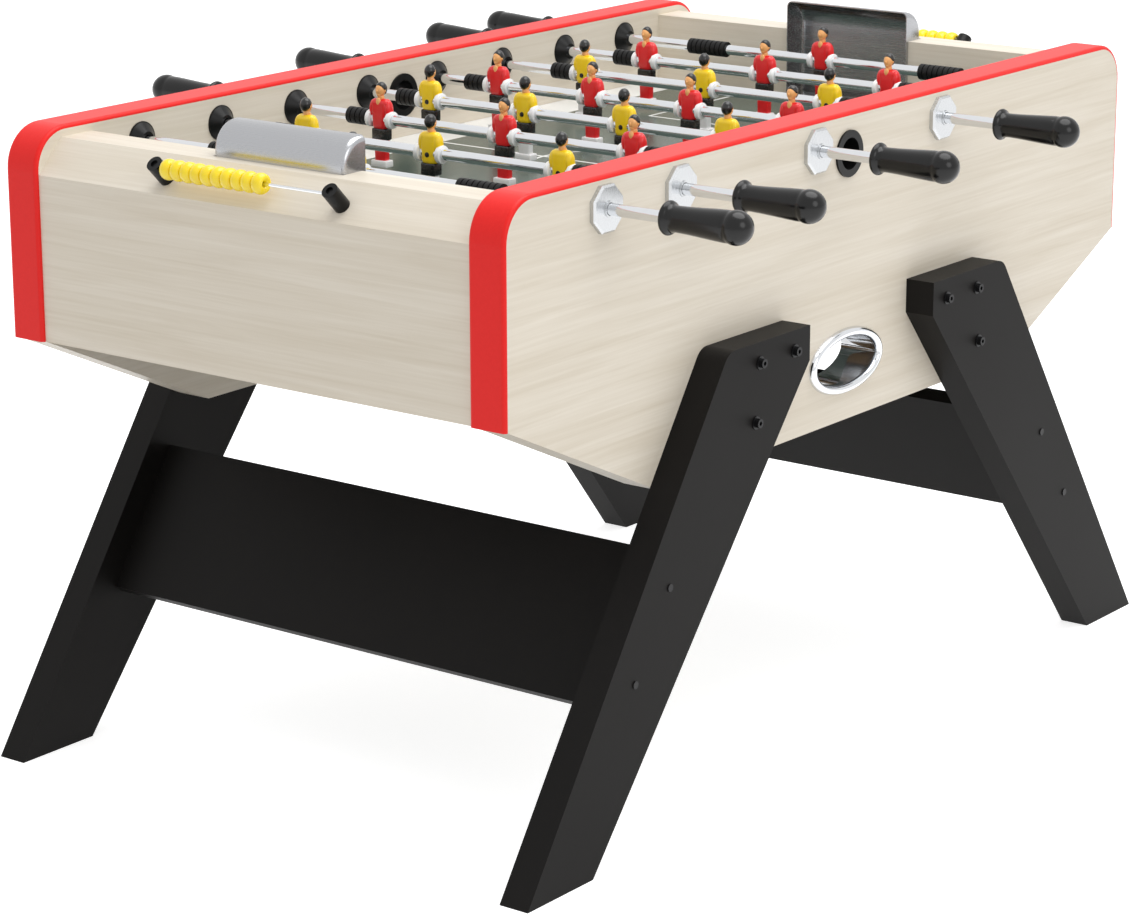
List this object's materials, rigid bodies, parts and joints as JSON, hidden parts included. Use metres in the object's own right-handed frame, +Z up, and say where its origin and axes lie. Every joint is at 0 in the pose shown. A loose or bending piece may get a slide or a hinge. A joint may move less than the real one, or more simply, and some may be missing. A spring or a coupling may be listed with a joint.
{
  "type": "foosball table",
  "caption": "Table football game with splayed plank legs, telescopic player rods, goal hoods, bead scorers and a side ball return.",
  "frame": {"origin": "on the floor, under the middle of the table", "axes": "+X from goal to goal, +Y along the rods away from the ball outlet, +Z up"},
  "size_m": [1.486, 1.226, 0.883],
  "materials": {
    "wood": "satin pale laminate",
    "strip": "satin red edging",
    "field": "gloss dark green laminate",
    "hood": "satin",
    "leg": "black paint",
    "bolt": "black",
    "bush": "satin black",
    "plate": "satin",
    "chrome": "polished",
    "gutter": "plain",
    "bead": "gloss yellow",
    "men_yellow": "yellow jersey",
    "men_red": "red jersey",
    "bumper": "black",
    "grip": "gloss black"
  },
  "bodies": {
    "table": {"side_panel_front": "wood", "side_panel_back": "wood", "edge_strip_front": "strip", "edge_strip_back": "strip", "end_wall_left": "wood", "end_wall_right": "wood", "playfield": "field", "goal_hood_left": "hood", "goal_hood_right": "hood", "leg_front_left": "leg", "leg_front_right": "leg", "leg_back_left": "leg", "leg_back_right": "leg", "stretcher_left": "leg", "stretcher_right": "leg", "leg_bolts": "bolt", "stretcher_screws": "bolt", "rod_bushes": "bush", "rod_plates": "plate", "guide_bars": "chrome", "ball_entry_cups": "bush", "ball_outlet": "chrome", "ball_gutters": "gutter", "goal_trays": "gutter", "scorer_posts": "chrome", "scorer_wires": "chrome"},
    "beads_left": {"score_beads_left": "bead"},
    "beads_right": {"score_beads_right": "bead"},
    "bumper_set_1": {"bumpers_1": "bumper"},
    "rod_1": {"rod_1": "chrome", "men_1": "men_yellow", "grip_1": "grip"},
    "bumper_set_2": {"bumpers_2": "bumper"},
    "rod_2": {"rod_2": "chrome", "men_2": "men_yellow", "grip_2": "grip"},
    "bumper_set_3": {"bumpers_3": "bumper"},
    "rod_3": {"rod_3": "chrome", "men_3": "men_red", "grip_3": "grip"},
    "bumper_set_4": {"bumpers_4": "bumper"},
    "rod_4": {"rod_4": "chrome", "men_4": "men_yellow", "grip_4": "grip"},
    "bumper_set_5": {"bumpers_5": "bumper"},
    "rod_5": {"rod_5": "chrome", "men_5": "men_red", "grip_5": "grip"},
    "bumper_set_6": {"bumpers_6": "bumper"},
    "rod_6": {"rod_6": "chrome", "men_6": "men_yellow", "grip_6": "grip"},
    "bumper_set_7": {"bumpers_7": "bumper"},
    "rod_7": {"rod_7": "chrome", "men_7": "men_red", "grip_7": "grip"},
    "bumper_set_8": {"bumpers_8": "bumper"},
    "rod_8": {"rod_8": "chrome", "men_8": "men_red", "grip_8": "grip"}
  },
  "joints": [
    {"name": "beads_left_slide", "type": "slide", "parent": "table", "child": "beads_left", "axis": [0, 1, 0], "range_m": [-0.0954, 0]},
    {"name": "beads_right_slide", "type": "slide", "parent": "table", "child": "beads_right", "axis": [0, 1, 0], "range_m": [0, 0.0954]},
    {"name": "rod_1_slide", "type": "slide", "parent": "table", "child": "bumper_set_1", "axis": [0, 1, 0], "range_m": [-0.0855, 0.08]},
    {"name": "rod_1_spin", "type": "hinge", "parent": "bumper_set_1", "child": "rod_1", "pos_m": [-0.532, 0, 0.815], "axis": [0, 1, 0], "continuous": true},
    {"name": "rod_2_slide", "type": "slide", "parent": "table", "child": "bumper_set_2", "axis": [0, 1, 0], "range_m": [-0.0577, 0.08]},
    {"name": "rod_2_spin", "type": "hinge", "parent": "bumper_set_2", "child": "rod_2", "pos_m": [-0.38, 0, 0.815], "axis": [0, 1, 0], "continuous": true},
    {"name": "rod_3_slide", "type": "slide", "parent": "table", "child": "bumper_set_3", "axis": [0, 1, 0], "range_m": [-0.0577, 0.0857]},
    {"name": "rod_3_spin", "type": "hinge", "parent": "bumper_set_3", "child": "rod_3", "pos_m": [-0.228, 0, 0.815], "axis": [0, 1, 0], "continuous": true},
    {"name": "rod_4_slide", "type": "slide", "parent": "table", "child": "bumper_set_4", "axis": [0, 1, 0], "range_m": [-0.0184, 0.0464]},
    {"name": "rod_4_spin", "type": "hinge", "parent": "bumper_set_4", "child": "rod_4", "pos_m": [-0.076, 0, 0.815], "axis": [0, 1, 0], "continuous": true},
    {"name": "rod_5_slide", "type": "slide", "parent": "table", "child": "bumper_set_5", "axis": [0, 1, 0], "range_m": [-0.0184, 0.0464]},
    {"name": "rod_5_spin", "type": "hinge", "parent": "bumper_set_5", "child": "rod_5", "pos_m": [0.076, 0, 0.815], "axis": [0, 1, 0], "continuous": true},
    {"name": "rod_6_slide", "type": "slide", "parent": "table", "child": "bumper_set_6", "axis": [0, 1, 0], "range_m": [-0.0577, 0.08]},
    {"name": "rod_6_spin", "type": "hinge", "parent": "bumper_set_6", "child": "rod_6", "pos_m": [0.228, 0, 0.815], "axis": [0, 1, 0], "continuous": true},
    {"name": "rod_7_slide", "type": "slide", "parent": "table", "child": "bumper_set_7", "axis": [0, 1, 0], "range_m": [-0.0577, 0.0857]},
    {"name": "rod_7_spin", "type": "hinge", "parent": "bumper_set_7", "child": "rod_7", "pos_m": [0.38, 0, 0.815], "axis": [0, 1, 0], "continuous": true},
    {"name": "rod_8_slide", "type": "slide", "parent": "table", "child": "bumper_set_8", "axis": [0, 1, 0], "range_m": [-0.08, 0.1135]},
    {"name": "rod_8_spin", "type": "hinge", "parent": "bumper_set_8", "child": "rod_8", "pos_m": [0.532, 0, 0.815], "axis": [0, 1, 0], "continuous": true}
  ]
}
